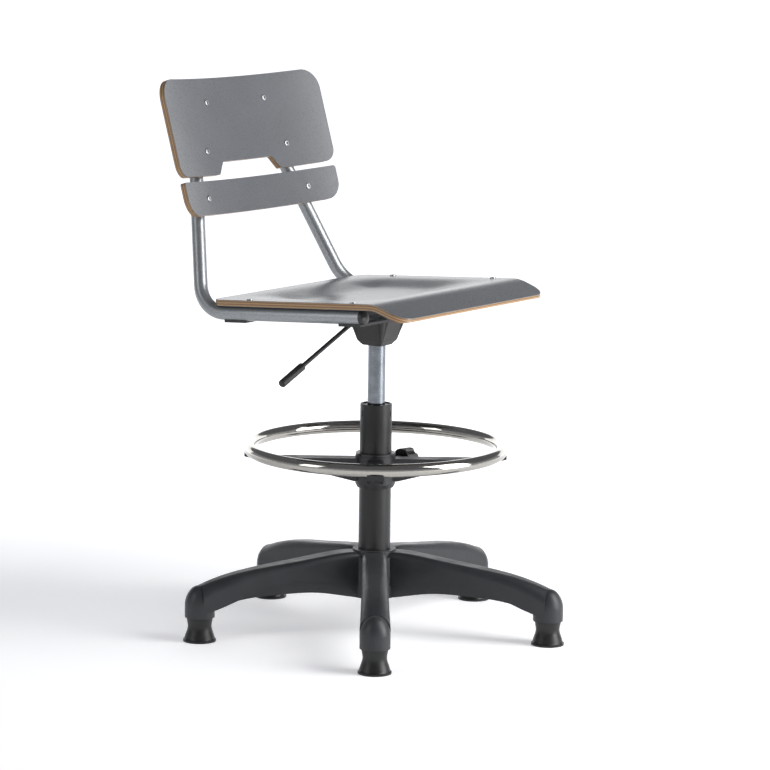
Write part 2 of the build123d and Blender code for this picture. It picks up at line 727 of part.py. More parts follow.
def ring_arm():
    """Channel arm along +X, open below, with a cradle for the ring at its tip."""
    tip = ARM_REACH
    side = Polyline(
        (26, ARM_TOP_Z), (tip - 20, ARM_TOP_Z), (tip - 14, CRADLE_Z), (tip, CRADLE_Z),
        (tip, ARM_TIP_Z), (tip - 14, ARM_TIP_Z - 3.5), (tip - 50, ARM_TIP_Z - 7.5), (34, ARM_TOP_Z - ARM_ROOT_HEIGHT),
        (26, ARM_TOP_Z - ARM_ROOT_HEIGHT), close=True,
    )
    arm = extrude(Plane.XZ * make_face(side), ARM_WIDTH / 2, both=True)
    trough = Polyline(
        (34, ARM_TOP_Z - ARM_WEB), (tip - 55, ARM_TOP_Z - ARM_WEB), (tip - 55, 200), (34, 200), close=True
    )
    return arm - extrude(Plane.XZ * make_face(trough), ARM_WIDTH / 2 - ARM_WEB, both=True)


def ring_hub():
    chamfer_run = 5.0
    hub = revolved([
        (SLEEVE_RADIUS + RUNNING_GAP, COLLAR_FOOT_Z - 6), (COLLAR_RADIUS - chamfer_run + 2, COLLAR_FOOT_Z - 6),
        (COLLAR_RADIUS, COLLAR_FOOT_Z), (COLLAR_RADIUS, COLLAR_TOP_Z), (SLEEVE_RADIUS + RUNNING_GAP, COLLAR_TOP_Z),
    ])
    for k in range(ARM_COUNT):
        hub += turned(ring_arm(), ARM_TURN + 90 * k)
    hub += turned(Pos(0, 0, KNOB_Z) * Rot(0, 90, 0) * rod(8.5, 28, KNOB_BASE - 2), KNOB_TURN)
    hub -= rod(SLEEVE_RADIUS + RUNNING_GAP, 200, 300)
    hub -= turned(Pos(0, 0, KNOB_Z) * Rot(0, 90, 0) * rod(STUD_RADIUS + RUNNING_GAP, 20, 60), KNOB_TURN)
    hub -= Pos(0, 0, RING_Z) * Torus(RING_RADIUS, RING_TUBE)
    for place in ring_screw_places():
        hub -= place * rod(RING_SCREW_RADIUS, SCREW_SEAT_Z - 1, RING_Z)
        hub -= place * rod(RING_HEAD_RADIUS + BODY_GAP, ARM_TIP_Z - 20, SCREW_SEAT_Z)
    return hub


def foot_ring():
    body = Pos(0, 0, RING_Z) * (Torus(RING_RADIUS, RING_TUBE) - Torus(RING_RADIUS, RING_TUBE - RING_WALL))
    punch = RegularPolygon(RING_SCREW_RADIUS + RUNNING_GAP, RING_HOLE_SIDES, major_radius=False)
    for place in ring_screw_places():
        body -= place * Pos(0, 0, RING_Z - RING_TUBE - 2.5) * extrude(punch, 6)
    return body


def ring_screw_places():
    return [Rot(0, 0, ARM_TURN + 90 * k) * Pos(RING_RADIUS - 3, 0, 0) for k in range(ARM_COUNT)]


def ring_screw():
    head = rod(RING_HEAD_RADIUS, SCREW_SEAT_Z - RING_HEAD_HEIGHT, SCREW_SEAT_Z)
    return head + rod(RING_SCREW_RADIUS, SCREW_SEAT_Z, RING_Z - RING_TUBE + 4.5)


def ring_sleeve():
    """Split plastic liner that slides on the column."""
    bore = TUBE_RADIUS + RUNNING_GAP
    body = ring(SLEEVE_RADIUS, bore, COLLAR_FOOT_Z - 6, COLLAR_TOP_Z + 1)
    body += ring(SLEEVE_FLANGE, bore, COLLAR_TOP_Z + BODY_GAP, SLEEVE_TOP_Z)
    return body - turned(Pos(TUBE_RADIUS + 3, 0, 258) * Box(12, 3, 80), KNOB_TURN + 180)


def knob_place():
    return Rot(0, 0, KNOB_TURN) * Pos(0, 0, KNOB_Z) * Rot(0, 90, 0)


def clamp_knob():
    """Five-lobed knob."""
    body = Pos(0, 0, KNOB_BASE + KNOB_HEIGHT / 2) * Cylinder(KNOB_RADIUS, KNOB_HEIGHT)
    for k in range(5):
        scallop = Pos(KNOB_RADIUS + 5.5, 0, KNOB_BASE + KNOB_HEIGHT / 2 + 3) * Cylinder(8.5, KNOB_HEIGHT)
        body -= turned(scallop, 72 * k)
    body = fillet(body.edges().group_by(Axis.Z)[-1], 2.0)
    body -= rod(STUD_RADIUS, KNOB_BASE - 1, KNOB_BASE + 14)
    return knob_place() * body


def clamp_stud():
    return knob_place() * rod(STUD_RADIUS, SLEEVE_RADIUS + BODY_GAP, KNOB_BASE + 14)


# Output -------------------------------------------------------------------------------------


def write_seat():
    outline = seat_outline()
    faces = [seat_face(depth) for depth in (0, LAMINATE, LAMINATE + PLY_THICKNESS, BOARD)]
    reliefs = knee_reliefs()
    for name, k in (("seat_top_laminate", 0), ("seat_core", 1), ("seat_bottom_laminate", 2)):
        write(name, seat_layer(outline, faces[k], faces[k + 1], reliefs))


def write_back():
    depths = (0, LAMINATE, LAMINATE + PLY_THICKNESS, BOARD)
    places = back_screw_frames()
    boards = (("upper_back", upper_outline(), places[:4]), ("lower_back", slat_outline(), places[4:]))
    for board, outline, holes in boards:
        for layer, k in (("front_laminate", 0), ("core", 1), ("rear_laminate", 2)):
            write(f"{board}_{layer}", back_layer(outline, depths[k], depths[k + 1], holes))


def main():
    os.makedirs("parts", exist_ok=True)
    write("star_base", star_base())
    for k in range(LEG_COUNT):
        write(f"glide_{k + 1}", at_foot(glide(), k))
    write("glide_stems", Compound(children=[at_foot(glide_stem(), k) for k in range(LEG_COUNT)]))
    for make in (
        outer_column, guide_bush, column_end_plate, bearing_lower_race, bearing_balls, bearing_cage,
        bearing_upper_race, rubber_buffer, piston_rod, retaining_clip, rod_washer, piston, piston_seal,
        gas_cylinder, rod_guide, cylinder_head, release_pin, frame_tube, tube_caps, seat_bracket,
        lever_pivot, lever_rod, lever_grip, housing_cover, ring_hub, foot_ring, ring_sleeve,
        clamp_knob, clamp_stud,
    ):
        write(make.__name__, make())
    write("front_cross_bar", cross_bar(FRONT_BAR_Y))
    write("rear_cross_bar", cross_bar(REAR_BAR_Y))
    write("bracket_bolts", grouped(bracket_bolt(), bolt_places()))
    write("bracket_nuts", grouped(bracket_nut(), bolt_places()))
    write("ring_screws", grouped(ring_screw(), ring_screw_places()))
    write("seat_screws", grouped(screw(), seat_screw_frames()))
    write("seat_inserts", grouped(insert(), seat_screw_frames()))
    write("back_screws", grouped(screw(), back_screw_frames()))
    write("back_inserts", grouped(insert(), back_screw_frames()))
    write_seat()
    write_back()


main()
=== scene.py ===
# %% [markdown]
# # A drafting chair: the looks
# The chair's working parts come from the CAD frame: the base, the gas column, the bent tube,
# the ply boards and the foot ring. This script gives each of them the finish of the real
# material, and adds small pieces that are quicker to shape in Blender: the knob's end cap and the
# weld beads. A CAD part is never moved or reshaped.

# %% Load the fixed frame
from math import cos, pi, radians, sin, sqrt

import bpy
from mathutils import Matrix, Vector


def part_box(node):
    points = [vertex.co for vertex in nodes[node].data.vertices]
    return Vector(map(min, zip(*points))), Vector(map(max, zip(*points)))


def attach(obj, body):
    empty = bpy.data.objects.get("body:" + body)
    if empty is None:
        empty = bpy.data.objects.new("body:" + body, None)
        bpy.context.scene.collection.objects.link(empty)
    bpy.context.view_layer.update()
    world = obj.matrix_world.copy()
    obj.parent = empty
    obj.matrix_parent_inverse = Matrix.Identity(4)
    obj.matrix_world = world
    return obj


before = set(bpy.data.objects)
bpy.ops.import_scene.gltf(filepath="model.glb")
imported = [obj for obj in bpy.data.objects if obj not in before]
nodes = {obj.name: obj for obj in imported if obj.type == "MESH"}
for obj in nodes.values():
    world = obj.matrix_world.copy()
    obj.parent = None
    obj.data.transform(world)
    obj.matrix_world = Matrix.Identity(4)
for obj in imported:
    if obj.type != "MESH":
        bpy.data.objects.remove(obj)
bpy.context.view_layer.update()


# %% [markdown]
# ## The camera
# A long lens from five metres flattens the perspective, as in a catalogue picture. The camera
# looks down by about nine degrees and stands in front of the chair, to the sitter's right.
# A turn round the chair, a distance and a height say where it is, and three small angles say
# where it looks, so it is easy to move without guessing.

# %% Camera
CAMERA_DISTANCE = 5.1303      # metres from the column, along the floor
CAMERA_HEIGHT = 1.20672
CHAIR_TURN = 0.598            # radians, how far the chair is turned to the camera
PITCH, YAW, ROLL = 0.1577, 0.0026, 0.0138
SENSOR_MM, LENS_MM = 36, 155.60509
FARTHEST = 80                 # metres, past the far edge of the floor

turn = Matrix(((sin(CHAIR_TURN), cos(CHAIR_TURN), 0),
               (-cos(CHAIR_TURN), sin(CHAIR_TURN), 0),
               (0, 0, 1)))
forward = Vector((sin(YAW) * cos(PITCH), cos(YAW) * cos(PITCH), -sin(PITCH)))
level_right = Vector((cos(YAW), -sin(YAW), 0))
level_up = level_right.cross(forward)
right = cos(ROLL) * level_right + sin(ROLL) * level_up
up = -sin(ROLL) * level_right + cos(ROLL) * level_up
axes = [turn @ axis for axis in (right, up, -forward)]

bpy.ops.object.camera_add()
camera = bpy.context.object
camera.name = "camera"
place = Matrix([list(row) for row in zip(*axes)]).to_4x4()
place.translation = turn @ Vector((0, -CAMERA_DISTANCE, CAMERA_HEIGHT))
camera.matrix_world = place
camera.data.sensor_width = SENSOR_MM
camera.data.lens = LENS_MM
camera.data.clip_end = FARTHEST
bpy.context.scene.camera = camera
print("camera at", [round(v, 3) for v in place.translation], "lens", round(camera.data.lens, 1))


# %% [markdown]
# ## Building with nodes
# Each finish is a small shader graph, and so is the light of the room. One helper adds a node,
# sets its values and joins its inputs, so that a finish reads as a short list of what lies on
# what. Colours are given as sRGB hex, as a colour chart prints them, and turned into the linear
# values that a shader wants. Pattern sizes are given in millimetres and turned into texture
# scales, because the frame is in metres.

# %% Node helpers
def toLinear(hex_colour):
    """sRGB hex to the linear values that a shader wants."""
    values = [int(hex_colour[i:i + 2], 16) / 255 for i in (1, 3, 5)]
    return tuple(v / 12.92 if v <= 0.04045 else ((v + 0.055) / 1.055) ** 2.4 for v in values) + (1.0,)


def fill(tree, node, **inputs):
    """Fills a node's inputs: each is a value, or another node's socket to join to it.
    An input goes by its name with _ for a space, or as i0, i1 and so on by its place: a colour
    Mix has its factor at 0, its colours at 6 and 7, and its result at output 2."""
    for key, value in inputs.items():
        by_place = key[0] == "i" and key[1:].isdigit()
        socket = node.inputs[int(key[1:])] if by_place else node.inputs[key.replace("_", " ")]
        if isinstance(value, bpy.types.NodeSocket):
            tree.links.new(value, socket)
        else:
            socket.default_value = value
    return node


def add(tree, kind, settings=None, **inputs):
    """Adds a node. settings are its own properties, such as the operation of a Math node."""
    made = tree.nodes.new(kind)
    for key, value in (settings or {}).items():
        setattr(made, key, value)
    return fill(tree, made, **inputs)


def material(name):
    """A new material, its node tree and its shader."""
    made = bpy.data.materials.new(name)
    made.use_nodes = True
    tree = made.node_tree
    return made, tree, tree.nodes["Principled BSDF"]


def per_mm(size_mm):
    """Texture scale whose features are about this size."""
    return 1000.0 / size_mm


def give(made, *names):
    """Puts the material on CAD nodes."""
    for name in names:
        slots = nodes[name].data.materials
        slots.clear()
        slots.append(made)
    print(made.name, "->", ", ".join(names))


# %% [markdown]
# ## Studio light and floor
# The chair stands on white paper in front of a lit white wall, in a room that is otherwise dim.
# The wall is low: the flat of the seat mirrors it, while the lip, bent towards the camera,
# mirrors the darker room above it. A tall soft box on the camera's right is the key and draws
# the bright stripe on every tube. Polished metal shows only what is around it: with dim sides
# to mirror, chrome gets its dark lines. The room fades from pale walls to a dark ceiling, which
# shades the chrome softly. The back wall is one broad area light, because that shines one way
# only and has no back to hide the chair.

# %% World and lights
bpy.context.scene.view_settings.view_transform = "Standard"
bpy.context.scene.view_settings.look = "None"
studio = bpy.data.worlds.new("white studio")
bpy.context.scene.world = studio
studio.use_nodes = True
room = studio.node_tree
direction = add(room, "ShaderNodeTexCoord")
upward = add(room, "ShaderNodeSeparateXYZ", Vector=direction.outputs["Generated"])
fade = add(room, "ShaderNodeMapRange", {"interpolation_type": "SMOOTHSTEP"},
           Value=upward.outputs["Z"], From_Min=0.02, From_Max=0.42, To_Min=0.62, To_Max=0.20)
fill(room, room.nodes["Background"], Color=toLinear("#ECEFF6"), Strength=fade.outputs["Result"])


def soft_box(name, across, ahead, height, size, power, aim=(0, 0, 0.45)):
    """Area light placed as the camera sees it: across is to its right, ahead is away from it."""
    bpy.ops.object.light_add(type="AREA", location=turn @ Vector((across, ahead, height)))
    lamp = bpy.context.object
    lamp.name = name
    lamp.data.shape = "RECTANGLE"
    lamp.data.size, lamp.data.size_y = size
    lamp.data.energy = power
    lamp.rotation_euler = (Vector(aim) - lamp.location).to_track_quat("-Z", "Y").to_euler()


soft_box("key soft box", 2.4, -0.8, 1.45, (1.5, 2.85), 104)
soft_box("fill soft box", -2.6, -1.6, 1.6, (1.0, 1.8), 17)
soft_box("lit back wall", 0, 3.4, 0.78, (7.0, 1.5), 48, aim=(0, 0, 0.78))

# %% Floor
FLOOR_SIZE = 60               # metres, so wide that its far edge melts into the white
bpy.ops.object.select_all(action="DESELECT")
bpy.ops.mesh.primitive_plane_add(size=FLOOR_SIZE)
floor = bpy.context.object
floor.name = "studio_floor"


# %% [markdown]
# ### Studio paper
# Seamless white background paper, lit until it is almost white so that only the shadows show.
# A little light of its own, stronger towards the back wall, stands for the lamps over the paper.

# %% Floor finish
GLOW_START, GLOW_FULL = 0.2, 2.2     # metres behind the column

paper, tree, shader = material("seamless white paper")
spot = add(tree, "ShaderNodeTexCoord").outputs["Object"]
fleck = add(tree, "ShaderNodeTexNoise", Vector=spot, Scale=per_mm(40), Detail=2.0)
tone = add(tree, "ShaderNodeMix", {"data_type": "RGBA"},
           i0=fleck.outputs["Fac"], i6=toLinear("#F4F4F5"), i7=toLinear("#FAFAFA"))
away = add(tree, "ShaderNodeVectorMath", {"operation": "DOT_PRODUCT"}, i0=spot, i1=turn @ Vector((0, 1, 0)))
glow = add(tree, "ShaderNodeMapRange", {"interpolation_type": "SMOOTHSTEP"}, Value=away.outputs["Value"],
           From_Min=GLOW_START, From_Max=GLOW_FULL, To_Min=0.37, To_Max=1.0)
fill(tree, shader, Base_Color=tone.outputs[2], Roughness=0.9,
     Emission_Color=toLinear("#FCFCFF"), Emission_Strength=glow.outputs["Result"])
floor.data.materials.append(paper)


# %% [markdown]
# ## Finishes of the CAD parts
# ### Moulded plastics and rubber
# The star base is injection-moulded nylon with glass fibre, spark-eroded to a fine grain so that
# scuffs don't show. The eye sees dark charcoal with a broad dull sheen, slightly cloudy where
# the plastic flowed. Grain of half a millimetre is too fine to see from here, so it is drawn at
# 1.6 mm. The other mouldings are made in the same way, with their own grain, gloss and depth.

# %% Moulded plastic
def moulded(name, dark, light, grain_mm, roughness, depth, sheen=0.0):
    """Injection-moulded plastic: cloudy colour, spark-eroded grain, uneven gloss."""
    made, tree, shader = material(name)
    spot = add(tree, "ShaderNodeTexCoord").outputs["Object"]
    cloud = add(tree, "ShaderNodeTexNoise", Vector=spot, Scale=per_mm(28), Detail=3.0, Roughness=0.6)
    grain = add(tree, "ShaderNodeTexNoise", Vector=spot, Scale=per_mm(grain_mm), Detail=4.0, Roughness=0.7)
    speck = add(tree, "ShaderNodeTexVoronoi", Vector=spot, Scale=per_mm(grain_mm * 1.3))
    fine = add(tree, "ShaderNodeMath", {"operation": "MULTIPLY_ADD"},
               i0=grain.outputs["Fac"], i1=0.45, i2=0.0)
    share = add(tree, "ShaderNodeMath", {"operation": "MULTIPLY_ADD"},
                i0=cloud.outputs["Fac"], i1=0.55, i2=fine.outputs[0])
    tone = add(tree, "ShaderNodeMix", {"data_type": "RGBA"},
               i0=share.outputs[0], i6=toLinear(dark), i7=toLinear(light))
    gloss = add(tree, "ShaderNodeMapRange", Value=cloud.outputs["Fac"],
                From_Min=0.3, From_Max=0.7, To_Min=roughness - 0.06, To_Max=roughness + 0.07)
    height = add(tree, "ShaderNodeMath", {"operation": "ADD"},
                 i0=grain.outputs["Fac"], i1=speck.outputs["Distance"])
    bump = add(tree, "ShaderNodeBump", Strength=0.35, Distance=depth, Height=height.outputs[0])
    fill(tree, shader, Base_Color=tone.outputs[2], Roughness=gloss.outputs["Result"],
         Normal=bump.outputs["Normal"], IOR=1.5, Specular_IOR_Level=0.5,
         Sheen_Weight=sheen, Sheen_Roughness=0.5)
    return made


glass_filled_nylon = moulded("glass-filled nylon, spark-eroded", "#1E2022", "#2B2D31",
                             1.6, 0.43, 0.00018, sheen=0.05)
hub_nylon = moulded("glass-filled nylon, fine", "#141517", "#202124", 1.2, 0.40, 0.00012)
polypropylene = moulded("polypropylene, polished mould", "#08090A", "#101112", 3.0, 0.40, 0.00004)
cover_abs = moulded("ABS, satin moulded", "#201D1E", "#2D2A2B", 1.4, 0.44, 0.00010)
black_polyethylene = moulded("polyethylene, soft gloss", "#141415", "#222223", 1.8, 0.38, 0.00008)
acetal = moulded("acetal, turned", "#1B1C1E", "#2C2D30", 1.5, 0.34, 0.00005)
nitrile = moulded("nitrile rubber", "#101011", "#1A1A1B", 1.5, 0.7, 0.0001)
give(glass_filled_nylon, "star_base")
give(hub_nylon, "ring_hub")
give(polypropylene, *[f"glide_{k}" for k in range(1, 6)])
give(cover_abs, "housing_cover")
give(black_polyethylene, "tube_caps", "lever_grip", "clamp_knob")
give(acetal, "guide_bush", "ring_sleeve", "bearing_cage")
give(nitrile, "rubber_buffer", "piston_seal")


# %% [markdown]
# ### Powder-coated steel
# The column's outer tube is drawn steel in black satin powder. The bent frame is silver powder
# coat: metal flake in a clear binder over a slight orange peel. The bars, bracket and lever are
# plain black powder.

# %% Powder coats
def powder_coat(name, dark, light, peel_mm, roughness, metallic, coat):
    """Powder coat: orange peel in the height, fine flake in the colour."""
    made, tree, shader = material(name)
    spot = add(tree, "ShaderNodeTexCoord").outputs["Object"]
    peel = add(tree, "ShaderNodeTexNoise", Vector=spot, Scale=per_mm(peel_mm), Detail=2.0, Roughness=0.5)
    flake = add(tree, "ShaderNodeTexVoronoi", Vector=spot, Scale=per_mm(1.1))
    tone = add(tree, "ShaderNodeMix", {"data_type": "RGBA"},
               i0=flake.outputs["Color"], i6=toLinear(dark), i7=toLinear(light))
    gloss = add(tree, "ShaderNodeMapRange", Value=peel.outputs["Fac"],
                To_Min=roughness - 0.05, To_Max=roughness + 0.06)
    bump = add(tree, "ShaderNodeBump", Strength=0.25, Distance=0.00008, Height=peel.outputs["Fac"])
    fill(tree, shader, Base_Color=tone.outputs[2], Roughness=gloss.outputs["Result"],
         Normal=bump.outputs["Normal"], Metallic=metallic, Coat_Weight=coat, Coat_Roughness=0.25)
    return made


silver_powder = powder_coat("silver powder coat", "#86898C", "#A3A6A8", 2.2, 0.36, 0.75, 0.15)
black_powder = powder_coat("black powder coat", "#171718", "#232324", 2.0, 0.40, 0.0, 0.1)
column_powder = powder_coat("black satin powder on drawn tube", "#0A0B0C", "#131415", 1.8, 0.38, 0.0, 0.0)
give(silver_powder, "frame_tube")
give(black_powder, "seat_bracket", "front_cross_bar", "rear_cross_bar", "lever_rod")
give(column_powder, "outer_column")


# %% [markdown]
# ### Zinc plate and machined steel
# The moving column is ground and zinc plated, so light runs in a bright upright stripe broken
# by fine rings round it. Grinding also pulls a highlight out of round: the shader's Anisotropic
# value says how much, and its tangent, which runs round the axis, says which way.

# %% Turned metal
def turned_metal(name, dark, light, line_mm, roughness, depth, stretch=0.0):
    """Metal turned or ground round an upright axis: the lines stack up the height.
    stretch is how far the highlight is pulled out of round, from 0 to 1."""
    made, tree, shader = material(name)
    spot = add(tree, "ShaderNodeTexCoord").outputs["Object"]
    squash = add(tree, "ShaderNodeMapping", Vector=spot, Scale=(0.04, 0.04, 1.0))
    lines = add(tree, "ShaderNodeTexNoise", Vector=squash.outputs["Vector"], Scale=per_mm(line_mm),
                Detail=5.0, Roughness=0.7)
    stain = add(tree, "ShaderNodeTexNoise", Vector=spot, Scale=per_mm(14), Detail=3.0)
    tone = add(tree, "ShaderNodeMix", {"data_type": "RGBA"},
               i0=stain.outputs["Fac"], i6=toLinear(dark), i7=toLinear(light))
    gloss = add(tree, "ShaderNodeMapRange", Value=lines.outputs["Fac"],
                From_Min=0.3, From_Max=0.7, To_Min=roughness - 0.07, To_Max=roughness + 0.09)
    bump = add(tree, "ShaderNodeBump", Strength=0.3, Distance=depth, Height=lines.outputs["Fac"])
    around = add(tree, "ShaderNodeTangent", {"direction_type": "RADIAL", "axis": "Z"})
    fill(tree, shader, Base_Color=tone.outputs[2], Roughness=gloss.outputs["Result"],
         Normal=bump.outputs["Normal"], Tangent=around.outputs["Tangent"],
         Metallic=1.0, Anisotropic=stretch)
    return made


zinc_plate = turned_metal("zinc plate on ground steel", "#6A6F75", "#989DA3", 1.6, 0.19, 0.00005, 0.3)
bright_steel = turned_metal("bright machined steel", "#A9ABAE", "#C9CBCD", 1.2, 0.24, 0.00004)
screw_zinc = turned_metal("zinc-plated fastener", "#B4B5B6", "#DADBDB", 0.9, 0.26, 0.00003)
cast_alloy = turned_metal("machined aluminium", "#B2B4B6", "#CDCED0", 1.2, 0.30, 0.00004)
give(zinc_plate, "gas_cylinder")
give(bright_steel, "glide_stems", "column_end_plate", "bearing_lower_race", "bearing_balls",
     "bearing_upper_race", "retaining_clip", "rod_washer", "piston_rod", "clamp_stud", "rod_guide",
     "cylinder_head", "release_pin", "lever_pivot", "seat_inserts", "back_inserts")
give(screw_zinc, "bracket_bolts", "bracket_nuts", "seat_screws", "back_screws", "ring_screws")
give(cast_alloy, "piston")


# %% [markdown]
# ### Chrome
# The foot ring is polished chrome over a tube. Chrome has almost no colour of its own: a
# slightly warm tint, a trace of haze and broad low ripples stand for the polishing.

# %% Chrome
chrome, tree, shader = material("polished chrome plate")
spot = add(tree, "ShaderNodeTexCoord").outputs["Object"]
polish = add(tree, "ShaderNodeTexNoise", Vector=spot, Scale=per_mm(22), Detail=2.0)
haze = add(tree, "ShaderNodeTexNoise", Vector=spot, Scale=per_mm(5), Detail=3.0)
tone = add(tree, "ShaderNodeMix", {"data_type": "RGBA"},
           i0=haze.outputs["Fac"], i6=toLinear("#A5A29C"), i7=toLinear("#B9B6B0"))
gloss = add(tree, "ShaderNodeMapRange", Value=haze.outputs["Fac"], To_Min=0.05, To_Max=0.12)
bump = add(tree, "ShaderNodeBump", Strength=0.12, Distance=0.0002, Height=polish.outputs["Fac"])
fill(tree, shader, Base_Color=tone.outputs[2], Roughness=gloss.outputs["Result"],
     Normal=bump.outputs["Normal"], Metallic=1.0)
give(chrome, "foot_ring")


# %% [markdown]
# ### High-pressure laminate
# The boards are faced with grey laminate: printed paper under melamine resin, pressed between
# textured plates. It is a smooth slate grey with a soft wide reflection and a very fine pebble.

# %% Laminate
laminate, tree, shader = material("grey high-pressure laminate, fine texture")
spot = add(tree, "ShaderNodeTexCoord").outputs["Object"]
pebble = add(tree, "ShaderNodeTexNoise", Vector=spot, Scale=per_mm(1.4), Detail=3.0, Roughness=0.6)
press = add(tree, "ShaderNodeTexNoise", Vector=spot, Scale=per_mm(60), Detail=2.0)
tone = add(tree, "ShaderNodeMix", {"data_type": "RGBA"},
           i0=press.outputs["Fac"], i6=toLinear("#5C5E61"), i7=toLinear("#66686B"))
fine = add(tree, "ShaderNodeMix", {"data_type": "RGBA", "blend_type": "MULTIPLY"},
           i0=pebble.outputs["Fac"], i6=tone.outputs[2], i7=toLinear("#F0F0F2"))
gloss = add(tree, "ShaderNodeMapRange", Value=pebble.outputs["Fac"],
            From_Min=0.3, From_Max=0.7, To_Min=0.25, To_Max=0.33)
bump = add(tree, "ShaderNodeBump", Strength=0.07, Distance=0.00004, Height=pebble.outputs["Fac"])
fill(tree, shader, Base_Color=fine.outputs[2], Roughness=gloss.outputs["Result"],
     Normal=bump.outputs["Normal"], IOR=1.54, Specular_IOR_Level=0.55)
give(laminate, "seat_top_laminate", "seat_bottom_laminate", "upper_back_front_laminate",
     "upper_back_rear_laminate", "lower_back_front_laminate", "lower_back_rear_laminate")


# %% [markdown]
# ### Beech ply edges
# Between the laminates are seven beech veneers, each with its grain across the last. On an edge
# this shows as thin stripes, light where the grain runs along the edge and darker at its ends.
# The stripes must follow the boards, which are bent, so the material works out how deep in the
# board a point lies: for the back, from its distance to the axis that the board is bent round;
# for the seat, from its height with the fall of the front lip added back by a curve.

# %% Ply, shared part
VENEER_MM = 1.9           # veneers of 1.2 mm are too fine to show, so they are drawn thicker


def ply_layers(tree, shader, depth):
    """Colours the edge from the depth in the board, in metres."""
    spot = add(tree, "ShaderNodeTexCoord").outputs["Object"]
    wander = add(tree, "ShaderNodeTexNoise", Vector=spot, Scale=per_mm(45), Detail=2.0)
    uneven = add(tree, "ShaderNodeMath", {"operation": "MULTIPLY_ADD"},
                 i0=wander.outputs["Fac"], i1=0.0004, i2=depth)
    wave = add(tree, "ShaderNodeMath", {"operation": "MULTIPLY"},
               i0=uneven.outputs[0], i1=pi * per_mm(VENEER_MM))
    stripe = add(tree, "ShaderNodeMath", {"operation": "SINE"}, i0=wave.outputs[0])
    edge = add(tree, "ShaderNodeMapRange", Value=stripe.outputs[0], From_Min=-0.35, From_Max=0.35)
    pores = add(tree, "ShaderNodeTexNoise", Vector=spot, Scale=per_mm(2.2), Detail=4.0, Roughness=0.7)
    across = add(tree, "ShaderNodeMix", {"data_type": "RGBA"},
                 i0=pores.outputs["Fac"], i6=toLinear("#6C4D33"), i7=toLinear("#866643"))
    along = add(tree, "ShaderNodeMix", {"data_type": "RGBA"},
                i0=pores.outputs["Fac"], i6=toLinear("#977650"), i7=toLinear("#B8966C"))
    tone = add(tree, "ShaderNodeMix", {"data_type": "RGBA"},
               i0=edge.outputs["Result"], i6=across.outputs[2], i7=along.outputs[2])
    bump = add(tree, "ShaderNodeBump", Strength=0.2, Distance=0.0001, Height=edge.outputs["Result"])
    fill(tree, shader, Base_Color=tone.outputs[2], Normal=bump.outputs["Normal"],
         Roughness=0.48, Coat_Weight=0.25, Coat_Roughness=0.3)


# %% Ply, back boards
BACK_ORIGIN = Vector((0, 0.21784, 0.600))     # a point of the leaning plane that the boards touch
BACK_LEAN = radians(16.19)
BACK_BEND = 0.840                             # radius that the boards are bent to

back_ply, tree, shader = material("beech ply edge, bent back")
spot = add(tree, "ShaderNodeTexCoord").outputs["Object"]
shift = add(tree, "ShaderNodeVectorMath", {"operation": "SUBTRACT"}, i0=spot, i1=BACK_ORIGIN)
ahead = add(tree, "ShaderNodeVectorMath", {"operation": "DOT_PRODUCT"},
            i0=shift.outputs["Vector"], i1=(0, -cos(BACK_LEAN), sin(BACK_LEAN)))
sideways = add(tree, "ShaderNodeSeparateXYZ", Vector=shift.outputs["Vector"]).outputs["X"]
reach = add(tree, "ShaderNodeMath", {"operation": "SUBTRACT"}, i0=BACK_BEND, i1=ahead.outputs["Value"])
reach_squared = add(tree, "ShaderNodeMath", {"operation": "MULTIPLY"},
                    i0=reach.outputs[0], i1=reach.outputs[0])
squared = add(tree, "ShaderNodeMath", {"operation": "MULTIPLY_ADD"},
              i0=sideways, i1=sideways, i2=reach_squared.outputs[0])
radius = add(tree, "ShaderNodeMath", {"operation": "SQRT"}, i0=squared.outputs[0])
depth = add(tree, "ShaderNodeMath", {"operation": "SUBTRACT"}, i0=radius.outputs[0], i1=BACK_BEND)
ply_layers(tree, shader, depth.outputs[0])
give(back_ply, "upper_back_core", "lower_back_core")

# %% Ply, seat
SEAT_TILT = radians(3.46)
SEAT_Z = 0.54175                              # the seat's top over the column
LIP_START, LIP_RUN = -0.120, 0.070            # where the lip begins, and how far it runs forward
LIP_RADIUS, LIP_ANGLE = 0.060, radians(23.5)
CURVE_SCALE = 20                              # a Float Curve is drawn from 0 to 1


def lip_drop(run):
    """How far the lip has fallen at this run from its start: an arc, then a straight slope."""
    bend_run = LIP_RADIUS * sin(LIP_ANGLE)
    if run < bend_run:
        return LIP_RADIUS - sqrt(LIP_RADIUS**2 - run**2)
    return LIP_RADIUS * (1 - cos(LIP_ANGLE)) + (run - bend_run) * sin(LIP_ANGLE) / cos(LIP_ANGLE)


seat_ply, tree, shader = material("beech ply edge, seat")
spot = add(tree, "ShaderNodeTexCoord").outputs["Object"]
flat = add(tree, "ShaderNodeVectorMath", {"operation": "DOT_PRODUCT"},
           i0=spot, i1=(0, sin(SEAT_TILT), cos(SEAT_TILT)))
along_seat = add(tree, "ShaderNodeVectorMath", {"operation": "DOT_PRODUCT"},
                 i0=spot, i1=(0, cos(SEAT_TILT), -sin(SEAT_TILT)))
lip_start = LIP_START - SEAT_Z * sin(SEAT_TILT)
lip_run = add(tree, "ShaderNodeMapRange", Value=along_seat.outputs["Value"],
              From_Min=lip_start, From_Max=lip_start - LIP_RUN)
fall = add(tree, "ShaderNodeFloatCurve", Value=lip_run.outputs["Result"])
